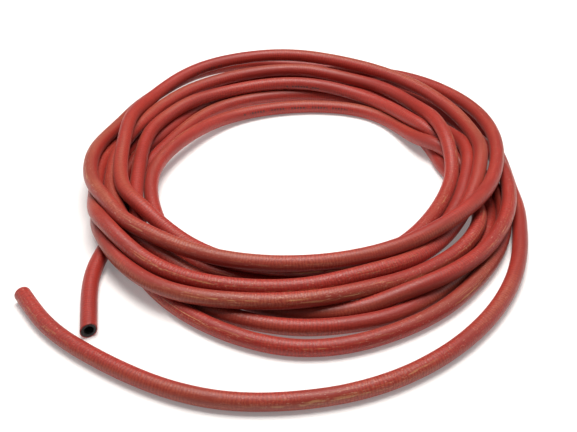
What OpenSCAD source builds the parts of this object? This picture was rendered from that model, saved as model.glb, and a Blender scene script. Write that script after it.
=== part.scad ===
// Rubber gas hose, wound by hand into a loose coil and laid flat.
// Millimetres, +Z up, z = 0 is the surface that the coil lies on.
// The wound turns are one plain closed ring of the coil's outer shape.
// The two stretches that leave the coil are swept tubes with open bored ends.

/* [Hose] */
// Outside diameter of the rubber cover
hose_d = 14; // [8:0.5:24]
// Bore of the hose
bore_d = 8; // [3:0.5:16]
// Length of bore cut into each end
bore_depth = 30; // [10:1:60]
// Length of the straight, truly round end of the hose
end_len = 42; // [20:1:80]

/* [Coil] */
// Inside radius of the ring of turns, measured across its narrow way
coil_inner_r = 136; // [60:1:260]
// Outside radius of the ring of turns, measured across its narrow way
coil_outer_r = 210; // [90:1:360]
// Height of the stacked turns
coil_h = 43; // [14:1:90]
// Straight run on each side, which makes the coil longer from back to front
coil_run = 62; // [4:1:160]
// Rounding of the coil's upper edges
coil_round = 16; // [2:1:30]

/* [Hidden] */
// Facets of the ring, of its rounded edges, of a swept tube and of a bored end
coil_fn = 96;
round_fn = 8;
tube_sides = 12;
end_fn = 64;
// Rings of a swept tube between two of its points
steps = 2;
// How far a bored end reaches over the swept tube behind it, and how far it stands proud of it
lap = 6;
proud = 0.1;
// Overshoot of a cut
eps = 1;

hose_r = hose_d / 2;
bore_r = bore_d / 2;
swept_r = hose_r - proud;
coil_centre = [16, 27];
rubber_red = [0.62, 0.17, 0.13];

// Floor route of the long free stretch, from inside the coil to its open end
long_route = [
  [198, 62], [211, 22], [216, -22], [212, -68], [197, -118], [165, -172],
  [118, -218], [64, -248], [6, -261], [-52, -260], [-104, -242],
  [-151, -214], [-191, -183], [-221, -143]
];

// Floor route of the short free stretch, from inside the coil to its open end
short_route = [
  [-159, -20], [-166, -62], [-168, -104], [-164, -146], [-157, -188]
];

function unit(v) = v / norm(v);
function turn90(v) = [-v[1], v[0]];
function last(v) = v[len(v) - 1];

// Point at share t between points b and c of a route, as a smooth curve
function curve(a, b, c, d, t) =
  b + t * (c - a) / 2
  + t * t * (2 * a - 5 * b + 4 * c - d) / 2
  + t * t * t * (3 * b - a - 3 * c + d) / 2;

// Direction of the straight open end, which runs along the last two points
function end_dir(route) = unit(last(route) - route[len(route) - 2]);

// Where the straight end begins
function end_root(route) = last(route) - end_dir(route) * end_len;

// The swept part's own points: the route up to its last but one point, then the straight end's root
function swept_points(route) = concat(
  [for (i = [0 : len(route) - 2]) for (s = [0 : steps - 1])
    let (
      a = route[max(i - 1, 0)],
      b = route[i],
      c = route[i + 1],
      d = route[min(i + 2, len(route) - 1)],
      p = curve(a, b, c, d, s / steps)
    )
    if ((last(route) - p) * end_dir(route) > end_len + hose_r) p],
  [end_root(route) + end_dir(route) * lap]
);

// One ring of the tube: upright, square to the path at point i
function tube_ring(path, i) =
  let (
    ahead = path[min(i + 1, len(path) - 1)],
    behind = path[max(i - 1, 0)],
    side = turn90(unit(ahead - behind))
  )
  [for (k = [0 : tube_sides - 1])
    let (angle = 360 * k / tube_sides - 90)
    [
      path[i][0] + side[0] * swept_r * cos(angle),
      path[i][1] + side[1] * swept_r * cos(angle),
      hose_r + swept_r * sin(angle)
    ]];

// A solid tube swept along floor points, as one polyhedron
module swept_tube(path) {
  count = len(path);
  points = [for (i = [0 : count - 1]) each tube_ring(path, i)];
  first_face = [for (k = [0 : tube_sides - 1]) k];
  last_face = [for (k = [tube_sides - 1 : -1 : 0]) (count - 1) * tube_sides + k];
  walls = [for (i = [0 : count - 2]) for (k = [0 : tube_sides - 1])
    let (
      here = i * tube_sides + k,
      beside = i * tube_sides + (k + 1) % tube_sides
    )
    each [
      [here, here + tube_sides, beside + tube_sides],
      [here, beside + tube_sides, beside]
    ]];
  polyhedron(points = points, faces = concat([first_face], walls, [last_face]), convexity = 6);
}

// Lays what it is given along the straight end, its +Z pointing out of the hose
module along_end(route) {
  out = end_dir(route);
  tip = last(route);
  translate([tip[0], tip[1], hose_r]) rotate([0, 0, atan2(out[1], out[0])]) rotate([0, 90, 0]) children();
}

// A free stretch of hose: swept tube, round open end, bore, and the coil's room cut away
module free_end(route) {
  difference() {
    union() {
      swept_tube(swept_points(route));
      along_end(route) translate([0, 0, -end_len]) cylinder(h = end_len, r = hose_r, $fn = end_fn);
    }
    along_end(route) translate([0, 0, -bore_depth])
      cylinder(h = bore_depth + eps, r = bore_r, $fn = end_fn);
    coil_room();
  }
}

// The floor that the ring of turns covers, in flat facets that touch its round wall from outside
module coil_room() {
  half = 180 / coil_fn;
  outline = [for (end = [0, 1]) for (k = [0 : coil_fn / 2 - 1])
    let (angle = 180 * end + half + k * 2 * half)
    [
      coil_centre[0] + coil_outer_r / cos(half) * cos(angle),
      coil_centre[1] + coil_outer_r / cos(half) * sin(angle) + coil_run / 2 * (1 - 2 * end)
    ]];
  translate([0, 0, -eps]) linear_extrude(coil_h) polygon(outline);
}

// Section of the ring of turns: square at the floor, rounded above
function coil_section() =
  let (
    top = coil_h - coil_round,
    outer = coil_outer_r - coil_round,
    inner = coil_inner_r + coil_round
  )
  concat(
    [[coil_inner_r, 0], [coil_outer_r, 0]],
    [for (k = [0 : round_fn]) let (angle = 90 * k / round_fn)
      [outer + coil_round * cos(angle), top + coil_round * sin(angle)]],
    [for (k = [0 : round_fn]) let (angle = 90 + 90 * k / round_fn)
      [inner + coil_round * cos(angle), top + coil_round * sin(angle)]]
  );

// The ring of turns: two half rounds joined by a straight run on each side
module coil_ring() {
  translate([coil_centre[0], coil_centre[1], 0]) {
    for (turn = [0, 180]) rotate([0, 0, turn]) {
      translate([0, coil_run / 2, 0]) rotate_extrude(angle = 180, $fn = coil_fn) polygon(coil_section());
      translate([0, coil_run / 2, 0]) rotate([90, 0, 0]) linear_extrude(coil_run) polygon(coil_section());
    }
  }
}

module coil() {
  color(rubber_red) coil_ring();
}

module long_end() {
  color(rubber_red) free_end(long_route);
}

module short_end() {
  color(rubber_red) free_end(short_route);
}

coil();
long_end();
short_end();
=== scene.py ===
# %% [markdown]
# # A red rubber gas hose, wound by hand
#
# The real thing is one length of red rubber hose, 14 mm across with an 8 mm bore.
# It lies in a loose coil of nearly nine turns, with one short and one long end left free.
# The whole object is one flexible body that follows one line, so the lesson is about that line:
# choose it, let it settle under its own weight, then lay a hose along it.

# %% Load the frame
import math

import bpy
import numpy as np
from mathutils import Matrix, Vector


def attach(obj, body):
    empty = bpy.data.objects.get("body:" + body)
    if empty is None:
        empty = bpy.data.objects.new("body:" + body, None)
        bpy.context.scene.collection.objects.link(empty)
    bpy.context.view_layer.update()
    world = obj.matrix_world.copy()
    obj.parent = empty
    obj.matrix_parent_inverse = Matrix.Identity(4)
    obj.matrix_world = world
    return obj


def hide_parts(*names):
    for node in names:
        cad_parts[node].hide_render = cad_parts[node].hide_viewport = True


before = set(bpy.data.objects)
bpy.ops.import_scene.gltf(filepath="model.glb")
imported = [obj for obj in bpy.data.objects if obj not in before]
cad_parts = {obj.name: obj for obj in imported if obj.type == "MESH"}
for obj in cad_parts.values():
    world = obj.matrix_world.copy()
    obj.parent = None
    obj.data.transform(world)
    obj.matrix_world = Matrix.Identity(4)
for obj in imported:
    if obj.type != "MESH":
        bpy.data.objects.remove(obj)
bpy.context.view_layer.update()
print("CAD nodes:", sorted(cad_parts))

# %% [markdown]
# ## Camera
#
# The hose is seen from the front, from 36 degrees up.
# An orbit camera needs only a target, an elevation and a distance, and is easy to reason about.
# A short portrait lens keeps the near strands a little larger than the far ones, as an eye would.

# %% Place the camera
camera_target = Vector((0.002, -0.023, 0.0))
camera_elevation = math.radians(36)
camera_distance = 0.826

camera_data = bpy.data.cameras.new("camera")
camera_data.sensor_fit = "HORIZONTAL"
camera_data.sensor_width = 36
camera_data.lens = 54
camera = bpy.data.objects.new("camera", camera_data)
back_and_up = Vector((0, -math.cos(camera_elevation), math.sin(camera_elevation)))
camera.location = camera_target + camera_distance * back_and_up
camera.rotation_euler = (math.pi / 2 - camera_elevation, 0, 0)
bpy.context.scene.collection.objects.link(camera)
bpy.context.scene.camera = camera
print("camera at", [round(v, 3) for v in camera.location])

# %% [markdown]
# ## Facts of the hose
#
# A cable designer settles the facts before the shape: how thick, how stiff, which ends.
# All lengths in this file are metres, except listed points, which are easier to choose
# in millimetres or in hose diameters.

# %% Sizes of the hose
MM = 0.001
hose_d = 14 * MM
hose_r = hose_d / 2
bore_r = 4 * MM
bore_depth = 30 * MM
lining_r = 6.1 * MM
print(f"wall {1000 * (hose_r - bore_r):.1f} mm, of which red cover {1000 * (hose_r - lining_r):.1f} mm")

# %% [markdown]
# ## The two free ends
#
# Outside the coil the hose lies flat on the floor, so two numbers place each point.
# These points, in millimetres, are also in the CAD model's routes,
# which start a little further inside the coil.

# %% Points of the free ends
short_end_mm = [(-157, -188), (-164, -146), (-168, -104)]
long_end_mm = [
    (216, -22), (212, -68), (197, -118), (165, -172), (118, -218), (64, -248),
    (6, -261), (-52, -260), (-104, -242), (-151, -214), (-191, -183), (-221, -143),
]
print(len(short_end_mm), "points in the short end,", len(long_end_mm), "in the long end")

# %% [markdown]
# ## The turns
#
# Nobody winds a hose as a perfect helix.
# Each turn wanders in and out and climbs over its neighbours.
# A helix with noise would look wound by a machine, so each turn gets stations chosen one by one.
# A station is a bearing around the coil's middle in degrees, then a radius and a height.
# Radius and height count in hose diameters, which makes "one hose further out" simply + 1.

# %% Stations of the turns, in the order the hose passes them
coil_middle_mm = (13.2, 21.8)
turns = {
    "in from the short end": (
        "-150 14.6 .5|-165 13.2 .5|180 12.6 .5|165 12.6 .5|150 12.4 .5|120 14.0 .5|90 14.6 .5"
    ),
    "first right crossing": "60 14.2 .5|30 13.0 1.1|0 11.8 1.4|-30 10.8 1.4",
    "first inner front": (
        "-60 10.9 .5|-90 10.9 .5|-105 11.0 .5|-120 11.2 .5|-135 11.0 .5|-150 10.6 .9"
    ),
    "innermost back": "180 10.45 1.4|150 10.0 1.4|120 10.7 .9|90 11.2 .6|60 11.7 .6",
    "second right": "30 10.6 1.1|0 12.3 .6|-30 13.7 .5",
    "low front": "-60 14.3 .5|-90 14.75 .5|-120 13.9 .5|-150 12.3 1.2",
    "middle back": "180 11.3 1.2|150 12.7 1.2|120 13.5 1.4|90 13.4 1.4|60 12.3 1.4|30 10.9 1.7",
    "down the right": "0 13.4 .7|-30 14.4 .5",
    "outermost front": "-60 15.6 .5|-90 16.4 .5|-120 14.9 .5|-150 12.6 .5",
    "low left": "180 11.6 .5|150 11.3 .5|120 12.8 .5",
    "low back": "90 13.3 .5|60 12.9 .5",
    "low inner right": "30 11.2 .5|15 11.1 .5|-15 12.9 .6",
    "third front": (
        "-30 13.2 1.0|-60 12.8 1.5|-90 13.5 1.7|-105 14.0 1.6|-120 14.8 1.6"
        "|-135 14.8 1.5|-150 14.4 1.4|-165 13.9 .8"
    ),
    "low outer left": "180 13.8 .5|150 13.8 .5|120 15.4 .5|90 15.9 .5",
    "outer right": "60 15.8 .6|30 14.6 1.1|0 14.4 1.4|-30 14.4 1.4",
    "hidden front": (
        "-60 14.1 1.3|-90 13.5 .6|-105 13.0 .6|-120 12.4 1.0|-135 12.7 1.4|-150 12.8 1.5"
    ),
    "left of the upper back": "180 13.2 1.3",
    "upper back": (
        "150 13.9 1.4|120 15.3 1.4|90 15.9 1.4|60 14.3 1.5|30 11.6 2.4|15 11.0 2.1"
        "|0 10.7 1.6|-30 10.1 1.5"
    ),
    "upper inner front": "-60 10.4 1.4|-90 10.6 1.4|-120 10.8 1.4",
    "top back": (
        "-150 11.2 1.7|-165 12.3 1.8|180 12.7 1.8|165 13.2 1.8|150 14.3 1.9|135 15.7 2.2|120 16.9 2.4"
        "|105 17.4 2.4|90 17.3 2.4|60 15.5 2.4|30 14.0 2.3|0 12.4 2.2"
    ),
    "second front": (
        "-30 11.7 1.8|-60 12.0 1.9|-90 12.5 1.9|-120 13.6 2.0|-150 14.4 1.9|-165 14.1 1.5"
    ),
    "outer left": "180 14.0 1.4|165 14.4 1.0|150 15.2 .5|120 16.6 .5|90 17.0 .8",
    "top right": "60 17.0 1.7|30 15.8 2.2|0 13.7 2.4|-30 12.0 2.5",
    "top front": "-60 11.1 2.5|-90 11.1 2.5|-120 11.8 2.5|-150 13.5 2.5|-165 14.1 2.4",
    "top left": (
        "180 14.5 2.2|165 14.9 1.8|150 15.3 1.4|130 17.2 1.3|118 18.5 1.2|105 19.1 1.0"
        "|90 18.8 .7|75 18.1 .5"
    ),
    "out to the long end": "60 17.6 .5|30 16.3 .5",
}
print(len(turns), "stretches,", sum(len(t.split("|")) for t in turns.values()), "stations")

# %% Turn the stations into points
def station_point(text):
    bearing, radius, height = (float(word) for word in text.split())
    angle = math.radians(bearing)
    return (
        coil_middle_mm[0] * MM + radius * hose_d * math.cos(angle),
        coil_middle_mm[1] * MM + radius * hose_d * math.sin(angle),
        height * hose_d,
    )


station_points = {
    name: [station_point(station) for station in text.split("|")] for name, text in turns.items()
}
rough_route = np.array(
    [(x * MM, y * MM, hose_r) for x, y in short_end_mm]
    + [point for stretch in station_points.values() for point in stretch]
    + [(x * MM, y * MM, hose_r) for x, y in long_end_mm]
)
print("rough route has", len(rough_route), "points")

# %% [markdown]
# ## One smooth line
#
# A hose has no corners, so the points are joined by a curve that passes through every one.
# A centripetal Catmull-Rom curve does that without loops or overshoot,
# even where the points are unevenly spaced. Equal steps along it make the next stage,
# which treats the line as a chain, behave the same everywhere.

# %% Smooth curve and even steps
def smooth_through(points, step):
    first, last = 2 * points[0] - points[1], 2 * points[-1] - points[-2]
    padded = np.vstack([first, points, last])
    made = []
    for p0, p1, p2, p3 in zip(padded, padded[1:], padded[2:], padded[3:]):
        t1 = np.linalg.norm(p1 - p0) ** 0.5
        t2 = t1 + np.linalg.norm(p2 - p1) ** 0.5
        t3 = t2 + np.linalg.norm(p3 - p2) ** 0.5
        count = max(2, round(np.linalg.norm(p2 - p1) / step))
        t = (t1 + (t2 - t1) * np.arange(count) / count)[:, None]
        a1 = (t1 - t) / t1 * p0 + t / t1 * p1
        a2 = (t2 - t) / (t2 - t1) * p1 + (t - t1) / (t2 - t1) * p2
        a3 = (t3 - t) / (t3 - t2) * p2 + (t - t2) / (t3 - t2) * p3
        b1 = (t2 - t) / t2 * a1 + t / t2 * a2
        b2 = (t3 - t) / (t3 - t1) * a2 + (t - t1) / (t3 - t1) * a3
        made.append((t2 - t) / (t2 - t1) * b1 + (t - t1) / (t2 - t1) * b2)
    return np.vstack(made + [points[-1:]])


def steps_along(points):
    return np.r_[0, np.cumsum(np.linalg.norm(np.diff(points, axis=0), axis=1))]


def evenly(points, step):
    along = steps_along(points)
    places = np.linspace(0, along[-1], round(along[-1] / step) + 1)
    return np.stack([np.interp(places, along, points[:, axis]) for axis in range(3)], axis=1)


rough_step = 12 * MM
line_step = 10 * MM
wound_line = evenly(smooth_through(rough_route, rough_step), line_step)
print(f"line of {len(wound_line)} points, {steps_along(wound_line)[-1]:.2f} m long")

# %% [markdown]
# ## Settle it
#
# The listed heights leave small gaps and overlaps where strands cross.
# Cloth or rigid-body physics could sort that out, but a chain of points is simpler
# and always ends the same way. Four rules act in turn: weight pulls down, stiffness smooths bends,
# strands push each other apart, and the floor holds everything up.
# A weak pull towards the chosen plan keeps the winding's character.

# %% Where two strands come close
search_reach = 1.5 * hose_d + line_step
steps_apart = 6
nearly_parallel = 1e-9


def close_pairs(line):
    middles = (line[1:] + line[:-1]) / 2
    squares = (middles**2).sum(axis=1)
    distance = squares[:, None] + squares[None] - 2 * middles @ middles.T
    first, second = np.nonzero(distance < search_reach**2)
    keep = second - first >= steps_apart
    return first[keep], second[keep]


def nearest_on_segments(line, first, second):
    start_a, start_b = line[first], line[second]
    run_a, run_b = line[first + 1] - start_a, line[second + 1] - start_b
    gap = start_a - start_b
    aa, bb, ab = (run_a**2).sum(1), (run_b**2).sum(1), (run_a * run_b).sum(1)
    ag, bg = (run_a * gap).sum(1), (run_b * gap).sum(1)
    spread = aa * bb - ab * ab
    crossing = spread > nearly_parallel * aa * bb
    share_a = np.clip((ab * bg - ag * bb) / np.where(crossing, spread, 1), 0, 1)
    share_a = np.where(crossing, share_a, 0.5)
    share_b = np.clip((ab * share_a + bg) / bb, 0, 1)
    share_a = np.clip((ab * share_b - ag) / aa, 0, 1)
    between = start_a + run_a * share_a[:, None] - start_b - run_b * share_b[:, None]
    return share_a, share_b, between, np.linalg.norm(between, axis=1)


overlap_share = 0.9
spacing = nearest_on_segments(wound_line, *close_pairs(wound_line))[3]
print("before settling,", int((spacing < overlap_share * hose_d).sum()), "close spots overlap")

# %% Let the hose settle
settling_rounds = 240
rounds_per_search = 8
weight_per_round = 0.12 * MM
pull_to_plan = (0.03, 0.03, 0.01)
stiffness_share = 0.3
stiffening_passes = 3
pushing_passes = 2
push_gain = 1.3


def stiffen(line, share):
    lean = np.zeros_like(line)
    lean[1:-1] = (line[:-2] + line[2:]) / 2 - line[1:-1]
    line[2:-2] += share * (lean[2:-2] - (lean[1:-3] + lean[3:-1]) / 2)


def push_apart(line, first, second):
    share_a, share_b, between, distance = nearest_on_segments(line, first, second)
    hit = distance < hose_d
    a, b, share_a, share_b = first[hit], second[hit], share_a[hit], share_b[hit]
    push = between[hit] * ((hose_d / np.maximum(distance[hit], 1e-9) - 1) / 2)[:, None]
    total, weight = np.zeros_like(line), np.zeros(len(line))
    for ends, share, sign in (
        (a, 1 - share_a, 1), (a + 1, share_a, 1), (b, 1 - share_b, -1), (b + 1, share_b, -1),
    ):
        np.add.at(total, ends, sign * push * share[:, None])
        np.add.at(weight, ends, share)
    line += push_gain * total / np.maximum(weight, 1)[:, None]


def settle(plan, rounds):
    line = plan.copy()
    for turn in range(rounds):
        if turn % rounds_per_search == 0:
            first, second = close_pairs(line)
        line[:, 2] -= weight_per_round * (1 - turn / rounds)
        line += pull_to_plan * (plan - line)
        for _ in range(stiffening_passes):
            stiffen(line, stiffness_share)
        for _ in range(pushing_passes):
            push_apart(line, first, second)
            line[:, 2] = np.maximum(line[:, 2], hose_r)
    return line


settled_line = settle(wound_line, settling_rounds)
closest = nearest_on_segments(settled_line, *close_pairs(settled_line))[3].min()
print(
    f"closest two strands: {1000 * closest:.1f} mm between centrelines"
    f" of a {1000 * hose_d:.0f} mm hose"
)

# %% The finished centreline
fine_step = 2.5 * MM
hose_line = evenly(smooth_through(settled_line, fine_step), fine_step)
hose_length = steps_along(hose_line)[-1]
turning = np.diff(np.diff(settled_line, axis=0), axis=0)
tightest = line_step**2 / np.linalg.norm(turning, axis=1).max()
print(f"hose is {hose_length:.3f} m long, its tightest bend has a radius of {1000 * tightest:.0f} mm")

# %% [markdown]
# ## A toolbox for nodes
#
# Shader and geometry maths reads best as arithmetic, so one small class wraps a socket.
# Adding or multiplying two wires adds a Math node, and `make` adds any other node.

# %% Wires and nodes
class Wire:
    def __init__(self, bench, socket):
        self.bench, self.socket = bench, socket

    def __add__(self, other):
        return self.bench.maths("ADD", self, other)

    def __radd__(self, other):
        return self.bench.maths("ADD", other, self)

    def __sub__(self, other):
        return self.bench.maths("SUBTRACT", self, other)

    def __rsub__(self, other):
        return self.bench.maths("SUBTRACT", other, self)

    def __mul__(self, other):
        return self.bench.maths("MULTIPLY", self, other)

    def __rmul__(self, other):
        return self.bench.maths("MULTIPLY", other, self)

    def __lt__(self, other):
        return self.bench.maths("LESS_THAN", self, other)

    def __gt__(self, other):
        return self.bench.maths("GREATER_THAN", self, other)


class Bench:
    def __init__(self, tree):
        self.tree = tree
        tree.nodes.clear()

    def make(self, kind, settings=None, inputs=None):
        node = self.tree.nodes.new(kind)
        for name, value in (settings or {}).items():
            setattr(node, name, value)
        for name, value in (inputs or {}).items():
            socket = node.inputs[name]
            if isinstance(value, Wire):
                self.tree.links.new(value.socket, socket)
            else:
                socket.default_value = value
        return node

    def wire(self, kind, settings=None, inputs=None, out=0):
        return Wire(self, self.make(kind, settings, inputs).outputs[out])

    def maths(self, operation, *values):
        return self.wire("ShaderNodeMath", {"operation": operation}, dict(enumerate(values)))

    def vector(self, operation, *values, out=0):
        return self.wire("ShaderNodeVectorMath", {"operation": operation}, dict(enumerate(values)), out)

    def stretched(self, vector, scale):
        return self.vector("MULTIPLY", vector, scale)

    def noise(self, vector, detail=2.0, roughness=0.5):
        values = {"Vector": vector, "Scale": 1.0, "Detail": detail, "Roughness": roughness}
        return self.wire("ShaderNodeTexNoise", {}, values)

    def between(self, value, low, high):
        values = {"Value": value, "From Min": low, "From Max": high}
        return self.wire("ShaderNodeMapRange", {"interpolation_type": "SMOOTHSTEP"}, values)

    def blend(self, share, under, over):
        values = {0: share, 6: under, 7: over}
        return self.wire("ShaderNodeMix", {"data_type": "RGBA"}, values, 2)


print("toolbox ready")

# %% [markdown]
# ## Colour of the red rubber cover
#
# The cover was cured inside a wound cloth, which leaves fine ribs across the hose.
# Handling has turned some stretches brown,
# and rubbing has left tan streaks on the outer side; the pale specks on its upper part are partly rub
# marks and partly painted glints.
# All of this must follow the hose, not the room, so every pattern reads the attribute `straight`.
# It holds where each point of the skin was when the hose was still straight:
# x points away from the coil, y points up, and z is the distance along the hose, all in metres.

# %% Directions around the hose
cover = bpy.data.materials.new("red rubber cover")
cover.use_nodes = True
bench = Bench(cover.node_tree)
straight = bench.wire("ShaderNodeAttribute", {"attribute_name": "straight"}, out=1)
split = bench.make("ShaderNodeSeparateXYZ", inputs={"Vector": straight})
away, up, along = (Wire(bench, split.outputs[axis]) for axis in range(3))


def facing(degrees):
    angle = math.radians(degrees)
    return (away * (math.cos(angle) / hose_r)) + (up * (math.sin(angle) / hose_r))


print("patterns can now ask which way the skin faces")

# %% Cloth ribs and grain
rib_pitch = 2.7 * MM
rib_wobble = 2.2
uneven = bench.noise(bench.stretched(straight, (160, 160, 230)), 2.0)
turns_of_rib = along * (1 / rib_pitch) + uneven * rib_wobble
ribs = 0.5 + 0.5 * bench.maths("SINE", turns_of_rib * math.tau)
pressed = bench.noise(bench.stretched(straight, (60, 60, 14)), 2.0)
ribs = ribs * bench.between(pressed, 0.30, 0.62)
threads = bench.noise(bench.stretched(straight, (640, 640, 70)), 1.0)
grain = bench.noise(bench.stretched(straight, (1000, 1000, 1000)), 3.0, 0.6)
cloth = ribs * 0.30 + threads * 0.26 + grain * 0.44
print(f"ribs are about {1000 * rib_pitch:.1f} mm apart")

# %% Red, browned and rubbed, with painted glints
bright_red = (0.395, 0.029, 0.0165, 1)
deep_red = (0.22, 0.014, 0.010, 1)
handled_brown = (0.35, 0.080, 0.040, 1)
rubbed_tan = (0.56, 0.30, 0.13, 1)
# The pale speck colour is partly rubbed rubber and partly a painted glint.
pale_speck_and_glint = (0.66, 0.38, 0.27, 1)

tint = bench.noise(bench.stretched(straight, (30, 30, 6)), 3.0)
red = bench.blend(bench.between(tint, 0.35, 0.65), deep_red, bright_red)
red = bench.blend(0.72, red, bright_red)
handled = bench.noise(bench.stretched(straight, (24, 24, 2.2)), 3.0, 0.6)
browned = bench.between(handled, 0.46, 0.60) * bench.between(facing(45), -0.2, 0.8)
red = bench.blend(browned * 0.85, red, handled_brown)
# The low places of the cloth relief are painted darker, as painted shade in its grooves.
red = bench.blend(bench.between(cloth, 0.56, 0.34) * 0.6, red, deep_red)

long_streaks = bench.noise(bench.stretched(straight, (520, 520, 13)), 3.0, 0.65)
worn_places = bench.noise(bench.stretched(straight, (20, 20, 3.1)), 2.0)
outer_side = bench.between(facing(30), 0.62, 0.97)
flecks = bench.noise(bench.stretched(straight, (700, 700, 100)), 2.0)
rubbed = (
    bench.between(long_streaks, 0.52, 0.66)
    * bench.between(worn_places, 0.42, 0.58)
    * bench.between(flecks, 0.44, 0.56)
    * outer_side
)
red = bench.blend(rubbed * 0.65, red, rubbed_tan)
# Pale specks on the upward, outward side: partly rub marks, partly painted glints of the light from
# above.
specks = bench.noise(bench.stretched(straight, (900, 900, 320)), 2.0, 0.7)
rub_specks_and_glints = (
    bench.between(specks, 0.58, 0.72)
    * bench.between(worn_places, 0.36, 0.58)
    * bench.between(facing(60), 0.2, 0.95)
)
red = bench.blend(rub_specks_and_glints * 0.45, red, pale_speck_and_glint)
print("red rubber has", len(cover.node_tree.nodes), "nodes so far")

# %% [markdown]
# ## Ink marks
#
# A hose like this carries a printed line. Here it is only a broken row of plain ink dashes,
# on three stretches at the back of the coil, on the side that is turned towards its middle.

# %% A row of plain dashes
printed_width = 0.982
dashes_per_metre, dash_share = 290, 0.62
groups_per_metre, group_share = 41, 0.80
ink = (0.03, 0.022, 0.022, 1)


def distance_to_station(stretch, station):
    gap = wound_line - np.array(station_points[stretch][station])
    return steps_along(settled_line)[int(np.linalg.norm(gap, axis=1).argmin())]


def dashes(middle, half_length, faces):
    inside = bench.maths("ABSOLUTE", along - middle) < half_length
    narrow = facing(faces) > printed_width
    beat = bench.maths("FRACT", along * dashes_per_metre) < dash_share
    pause = bench.maths("FRACT", along * groups_per_metre) < group_share
    return inside * narrow * beat * pause


marks = (
    dashes(distance_to_station("innermost back", 3), 0.066, 161)
    + dashes(distance_to_station("middle back", 3) + 8 * MM, 0.020, 184)
    + dashes(distance_to_station("top back", 6) + 14 * MM, 0.018, 184)
)
faded = bench.between(grain, 0.36, 0.52)
red = bench.blend(marks * (0.5 + 0.5 * faded) * 0.85, red, ink)
print("three short rows of dashes")

# %% Finish the red rubber
rubber = bench.make("ShaderNodeBsdfPrincipled", inputs={
    "Base Color": red,
    "Roughness": 0.37 + 0.20 * bench.between(grain, 0.3, 0.7),
    "Specular IOR Level": 0.5,
    "Sheen Weight": 0.08,
    "Sheen Roughness": 0.4,
    "Sheen Tint": (1.0, 0.80, 0.74, 1),
})
relief = bench.wire("ShaderNodeBump", inputs={"Height": cloth, "Strength": 0.75, "Distance": 0.0005})
bench.tree.links.new(relief.socket, rubber.inputs["Normal"])
bench.make("ShaderNodeOutputMaterial", inputs={"Surface": Wire(bench, rubber.outputs[0])})
print("red rubber has", len(cover.node_tree.nodes), "nodes")

# %% [markdown]
# ## Colour of the black lining
#
# The inner tube is black rubber, seen only at the cut ends.
# A knife leaves it dull and slightly streaked.

# %% Black rubber
lining = bpy.data.materials.new("black rubber lining")
lining.use_nodes = True
bench = Bench(lining.node_tree)
straight = bench.wire("ShaderNodeAttribute", {"attribute_name": "straight"}, out=1)
knife = bench.noise(bench.stretched(straight, (1500, 260, 400)), 3.0)
black = bench.make("ShaderNodeBsdfPrincipled", inputs={
    "Base Color": bench.blend(knife, (0.010, 0.010, 0.011, 1), (0.050, 0.048, 0.048, 1)),
    "Roughness": 0.62 + 0.2 * knife,
    "Specular IOR Level": 0.35,
})
relief = bench.wire("ShaderNodeBump", inputs={"Height": knife, "Strength": 0.35, "Distance": 0.0004})
bench.tree.links.new(relief.socket, black.inputs["Normal"])
bench.make("ShaderNodeOutputMaterial", inputs={"Surface": Wire(bench, black.outputs[0])})
print("black lining has", len(lining.node_tree.nodes), "nodes")

# %% [markdown]
# ## The straight hose
#
# Before it is laid, the hose is a turned shape: one outline spun around one axis.
# The outline starts at the bottom of one bore, comes out over the cut edge, runs the whole length
# and goes into the other bore, so the result is a single closed skin.
# Extra points close to each edge keep the smooth shading crisp there.
# The short end was cut by hand and a little aslant, so its first rings lean.

# %% Outline of the cut end, as depth and radius in millimetres
cut_end_mm = [
    (30.0, 0.0), (30.0, 3.85), (29.8, 4.0), (22.0, 4.0), (14.0, 4.0), (7.0, 4.0), (2.5, 4.0),
    (0.8, 4.0), (0.25, 4.05), (0.06, 4.22), (0.0, 4.5), (0.0, 5.8), (0.03, 6.0), (0.16, 6.1),
    (0.04, 6.2), (0.0, 6.35), (0.03, 6.62), (0.16, 6.86), (0.42, 6.97), (0.9, 7.0), (2.6, 7.0),
]
print(len(cut_end_mm), "points around one cut end")

# %% Spin the outline
sides = 32
ring_step = 5.5 * MM

start = np.array(cut_end_mm) * MM
runs = np.linspace(0, hose_length, round(hose_length / ring_step) + 1)[1:-1]
body = np.stack([runs, np.full(len(runs), hose_r)], axis=1)
finish = np.stack([hose_length - start[::-1, 0], start[::-1, 1]], axis=1)
outline = np.vstack([start, body, finish])

spin = np.arange(sides) * math.tau / sides
rings = np.stack([
    outline[1:-1, 1, None] * np.cos(spin),
    outline[1:-1, 1, None] * np.sin(spin),
    np.repeat(outline[1:-1, 0, None], sides, axis=1),
], axis=2)
poles = [(0, 0, outline[0, 0]), (0, 0, outline[-1, 0])]
points = np.vstack([rings.reshape(-1, 3), poles])
count = len(outline) - 2

slant_run = 12 * MM
slant_away, slant_up = 0.30, 0.06
slant = 1 - np.clip(points[:, 2] / slant_run, 0, 1)
points[:, 2] -= slant * (slant_away * points[:, 0] - slant_up * points[:, 1])

near = np.arange(sides)
beside = (near + 1) % sides
faces = []
for ring in range(count - 1):
    here, ahead = ring * sides, (ring + 1) * sides
    faces += np.stack([here + near, here + beside, ahead + beside, ahead + near], axis=1).tolist()
faces += [(count * sides, int(b), int(a)) for a, b in zip(near, beside)]
last = (count - 1) * sides
faces += [(count * sides + 1, last + int(a), last + int(b)) for a, b in zip(near, beside)]

straight_mesh = bpy.data.meshes.new("straight hose")
straight_mesh.from_pydata(points.tolist(), [], faces)
straight_mesh.shade_smooth()
straight_hose = bpy.data.objects.new("straight_hose", straight_mesh)
bpy.context.scene.collection.objects.link(straight_hose)
print(f"straight hose: {count} rings of {sides} points, {sum(len(f) - 2 for f in faces)} triangles")
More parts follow.
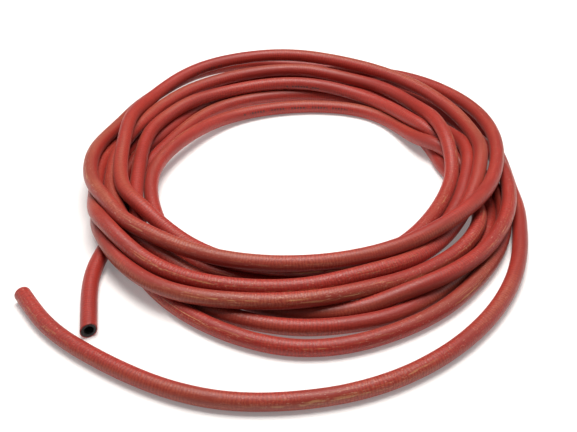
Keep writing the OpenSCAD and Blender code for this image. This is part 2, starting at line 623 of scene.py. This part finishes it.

# %% [markdown]
# ## Lay the hose along its line
#
# A Curve modifier could bend the straight hose, but it rolls the section as the line climbs.
# Geometry Nodes read the line's place and direction at each distance and build the section upright,
# so "away from the coil" and "up" keep their meaning all along, which the wear marks and the painted
# glints rely on.
# A little slow waviness takes away the look of an extruded bar.
# Sample Curve stops where the line ends, but the slanted cut reaches past that,
# so `past_the_end` carries those points straight on.

# %% The line as a curve
line_data = bpy.data.curves.new("hose line", "CURVE")
line_data.dimensions = "3D"
spline = line_data.splines.new("POLY")
spline.points.add(len(hose_line) - 1)
spline.points.foreach_set("co", np.c_[hose_line, np.ones(len(hose_line))].ravel())
line_object = bpy.data.objects.new("hose_line", line_data)
bpy.context.scene.collection.objects.link(line_object)
print("curve of", len(spline.points), "points")

# %% The laying tree
laying = bpy.data.node_groups.new("lay the hose", "GeometryNodeTree")
sockets = {}
for name, kind in (
    ("Geometry", "NodeSocketGeometry"), ("Line", "NodeSocketObject"),
    ("Waviness", "NodeSocketFloat"), ("Wave length", "NodeSocketFloat"),
    ("Seed", "NodeSocketFloat"), ("Lining radius", "NodeSocketFloat"),
    ("Cover", "NodeSocketMaterial"), ("Lining", "NodeSocketMaterial"),
):
    socket = laying.interface.new_socket(name=name, in_out="INPUT", socket_type=kind)
    sockets[name] = socket.identifier
laying.interface.new_socket(name="Geometry", in_out="OUTPUT", socket_type="NodeSocketGeometry")

bench = Bench(laying)
given = bench.make("NodeGroupInput")


def entered(name):
    return Wire(bench, given.outputs[name])


place = bench.wire("GeometryNodeInputPosition")
kept = bench.wire(
    "GeometryNodeStoreNamedAttribute", {"data_type": "FLOAT_VECTOR", "domain": "POINT"},
    {"Geometry": entered("Geometry"), "Name": "straight", "Value": place},
)
split = bench.make("ShaderNodeSeparateXYZ", inputs={"Vector": place})
away, up, along = (Wire(bench, split.outputs[axis]) for axis in range(3))
line = bench.wire("GeometryNodeObjectInfo", {}, {"Object": entered("Line")}, out="Geometry")
sample = bench.make("GeometryNodeSampleCurve", {"mode": "LENGTH"}, {"Curves": line, "Length": along})
centre, ahead = Wire(bench, sample.outputs["Position"]), Wire(bench, sample.outputs["Tangent"])
side = bench.vector("NORMALIZE", bench.vector("CROSS_PRODUCT", (0, 0, 1), ahead))
rise = bench.vector("CROSS_PRODUCT", ahead, side)

wander = bench.vector("DIVIDE", place, bench.wire(
    "ShaderNodeCombineXYZ", {}, {axis: entered("Wave length") for axis in range(3)}))
wander = bench.vector("ADD", wander, bench.wire("ShaderNodeCombineXYZ", {}, {2: entered("Seed")}))
swell = 1 + (bench.noise(wander, 1.0) - 0.5) * entered("Waviness")
across = bench.wire("ShaderNodeVectorMath", {"operation": "SCALE"}, {0: side, "Scale": away * swell})
upright = bench.wire("ShaderNodeVectorMath", {"operation": "SCALE"}, {0: rise, "Scale": up * swell})
past_the_end = bench.wire("ShaderNodeVectorMath", {"operation": "SCALE"}, {
    0: ahead, "Scale": bench.maths("MINIMUM", along, 0.0),
})
on_the_line = bench.vector("ADD", centre, past_the_end)
laid = bench.vector("ADD", on_the_line, bench.vector("ADD", across, upright))

moved = bench.wire("GeometryNodeSetPosition", {}, {"Geometry": kept, "Position": laid})
real = bench.wire("GeometryNodeRealizeInstances", {}, {"Geometry": moved})
stored = bench.make(
    "GeometryNodeInputNamedAttribute", {"data_type": "FLOAT_VECTOR"}, {"Name": "straight"})
flat = bench.vector("MULTIPLY", Wire(bench, stored.outputs[0]), (1, 1, 0))
inner = bench.vector("LENGTH", flat, out=1) < entered("Lining radius")
covered = bench.wire("GeometryNodeSetMaterial", {}, {"Geometry": real, "Material": entered("Cover")})
lined = bench.wire("GeometryNodeSetMaterial", {}, {
    "Geometry": covered, "Selection": inner, "Material": entered("Lining"),
})
bench.make("NodeGroupOutput", inputs={"Geometry": lined})
print("laying tree has", len(laying.nodes), "nodes")

# %% Run the tree and keep a plain mesh
layer = straight_hose.modifiers.new("lay the hose", "NODES")
layer.node_group = laying
for name, value in (
    ("Line", line_object), ("Waviness", 0.05), ("Wave length", 0.045), ("Seed", 3.0),
    ("Lining radius", lining_r), ("Cover", cover), ("Lining", lining),
):
    layer[sockets[name]] = value

depsgraph = bpy.context.evaluated_depsgraph_get()
hose_mesh = bpy.data.meshes.new_from_object(straight_hose.evaluated_get(depsgraph), depsgraph=depsgraph)
hose_mesh.name = "red hose"
red_hose = bpy.data.objects.new("red_hose", hose_mesh)
bpy.context.scene.collection.objects.link(red_hose)
straight_hose.modifiers.remove(layer)
bpy.data.objects.remove(straight_hose)
bpy.data.objects.remove(line_object)
print("red hose:", len(hose_mesh.polygons), "faces, materials", [m.name for m in hose_mesh.materials])

# %% Tell the frame about the hose
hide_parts("coil", "long_end", "short_end")
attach(red_hose, "root")
print(f"declared as {hose_length:.2f} m of hose, bare at both ends")

# %% [markdown]
# ## Studio
#
# A plain pale floor, made to glow slightly so that it stays pale between the strands,
# a large, faintly warm light overhead and a little behind, and a weak white one on each side.
# Big sources close to the object give the broad, soft gleam that matte rubber shows along its back.

# %% Floor
floor_mesh = bpy.data.meshes.new("floor")
floor_reach = 6.0
floor_glow = 0.18
corners = [(-1, -1), (1, -1), (1, 1), (-1, 1)]
floor_mesh.from_pydata([(x * floor_reach, y * floor_reach, 0) for x, y in corners], [], [(0, 1, 2, 3)])
floor = bpy.data.objects.new("floor", floor_mesh)
bpy.context.scene.collection.objects.link(floor)
paint = bpy.data.materials.new("studio floor")
paint.use_nodes = True
bench = Bench(paint.node_tree)
matt = bench.wire("ShaderNodeBsdfPrincipled", {}, {
    "Base Color": (0.80, 0.80, 0.80, 1), "Roughness": 0.9, "Specular IOR Level": 0.1,
    "Emission Color": (1.0, 1.0, 1.0, 1), "Emission Strength": floor_glow,
})
bench.make("ShaderNodeOutputMaterial", inputs={"Surface": matt})
floor_mesh.materials.append(paint)
print("floor is", 2 * floor_reach, "m wide")

# %% Lights
def soft_light(name, place, aim, size, watts, colour):
    data = bpy.data.lights.new(name, "AREA")
    data.shape = "SQUARE"
    data.size = size
    data.energy = watts
    data.color = colour
    lamp = bpy.data.objects.new(name, data)
    lamp.location = place
    lamp.rotation_euler = (Vector(aim) - Vector(place)).to_track_quat("-Z", "Y").to_euler()
    bpy.context.scene.collection.objects.link(lamp)


coil_foot = (0, 0, 0)
faintly_warm, white = (1.0, 0.96, 0.92), (1.0, 1.0, 1.0)
soft_light("overhead light", (0.0, 0.2, 1.5), coil_foot, 1.0, 33, faintly_warm)
soft_light("left light", (-1.5, 0.15, 0.75), coil_foot, 1.2, 4.5, white)
soft_light("right light", (1.5, 0.15, 0.75), coil_foot, 1.2, 4.5, white)
world = bpy.data.worlds.new("studio air")
bpy.context.scene.world = world
world.use_nodes = True
bench = Bench(world.node_tree)
air_glow = 0.12
air = bench.wire("ShaderNodeBackground", {}, {"Color": (1.0, 1.0, 1.0, 1), "Strength": air_glow})
bench.make("ShaderNodeOutputWorld", inputs={"Surface": air})
bpy.context.scene.view_settings.view_transform = "Standard"
print("three soft lights and an even glow")
